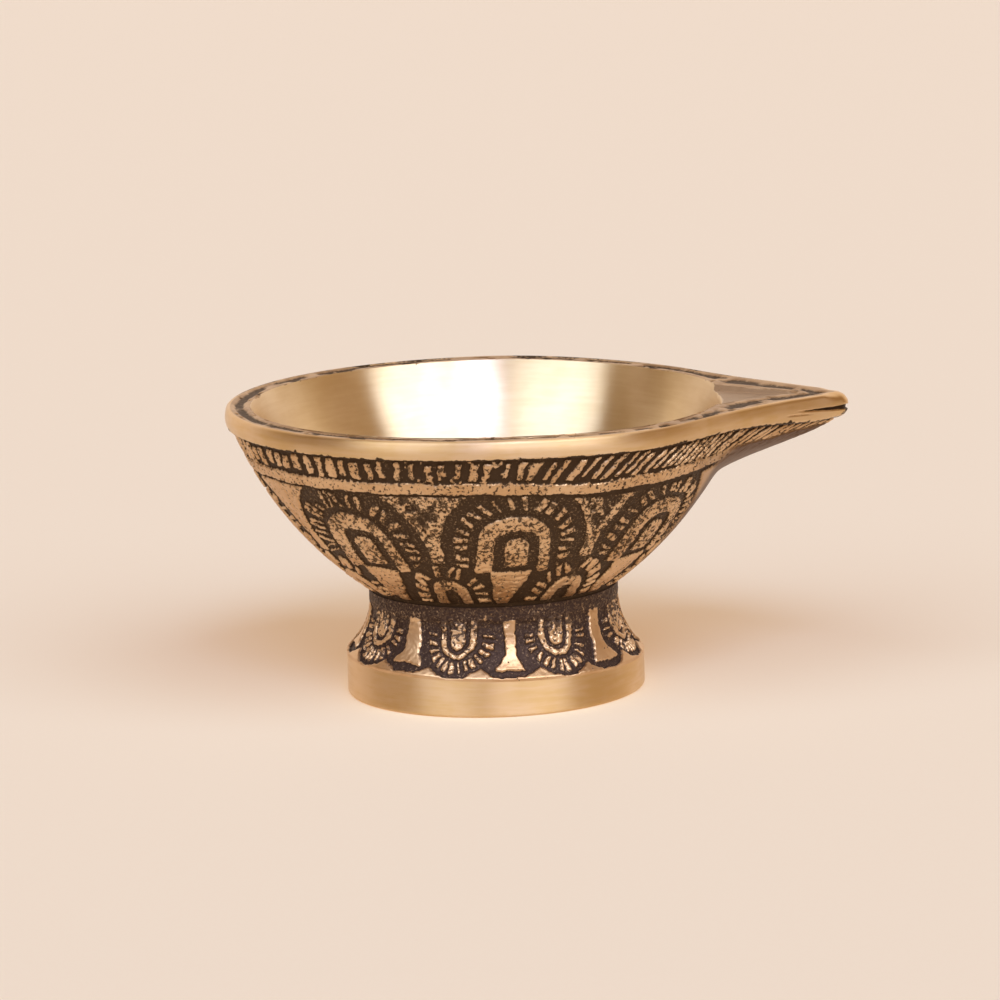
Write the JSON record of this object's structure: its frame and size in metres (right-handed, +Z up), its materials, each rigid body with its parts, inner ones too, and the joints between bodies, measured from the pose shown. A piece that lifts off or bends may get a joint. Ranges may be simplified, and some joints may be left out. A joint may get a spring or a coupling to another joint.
{
  "type": "butter lamp",
  "caption": "Small cast brass butter lamp: round bowl with a pointed wick spout and carved petals, seated on a hollow flared foot and clamped by a screw from below.",
  "frame": {"origin": "centre of the foot's resting face, on the lamp's axis", "axes": "+Z up along the lamp's axis, +X towards the spout's tip"},
  "size_m": [0.08, 0.0674, 0.038],
  "materials": {
    "bowl_brass": "cast brass, turned bright inside, with dark patina left in the carving",
    "foot_brass": "cast brass with a turned bright ring and dark patina in the carving",
    "screw_brass": "turned brass, dulled",
    "washer_brass": "stamped brass, dulled"
  },
  "bodies": {
    "root": {"bowl": "bowl_brass", "foot": "foot_brass", "clamp_screw": "screw_brass", "screw_washer": "washer_brass"}
  },
  "joints": []
}
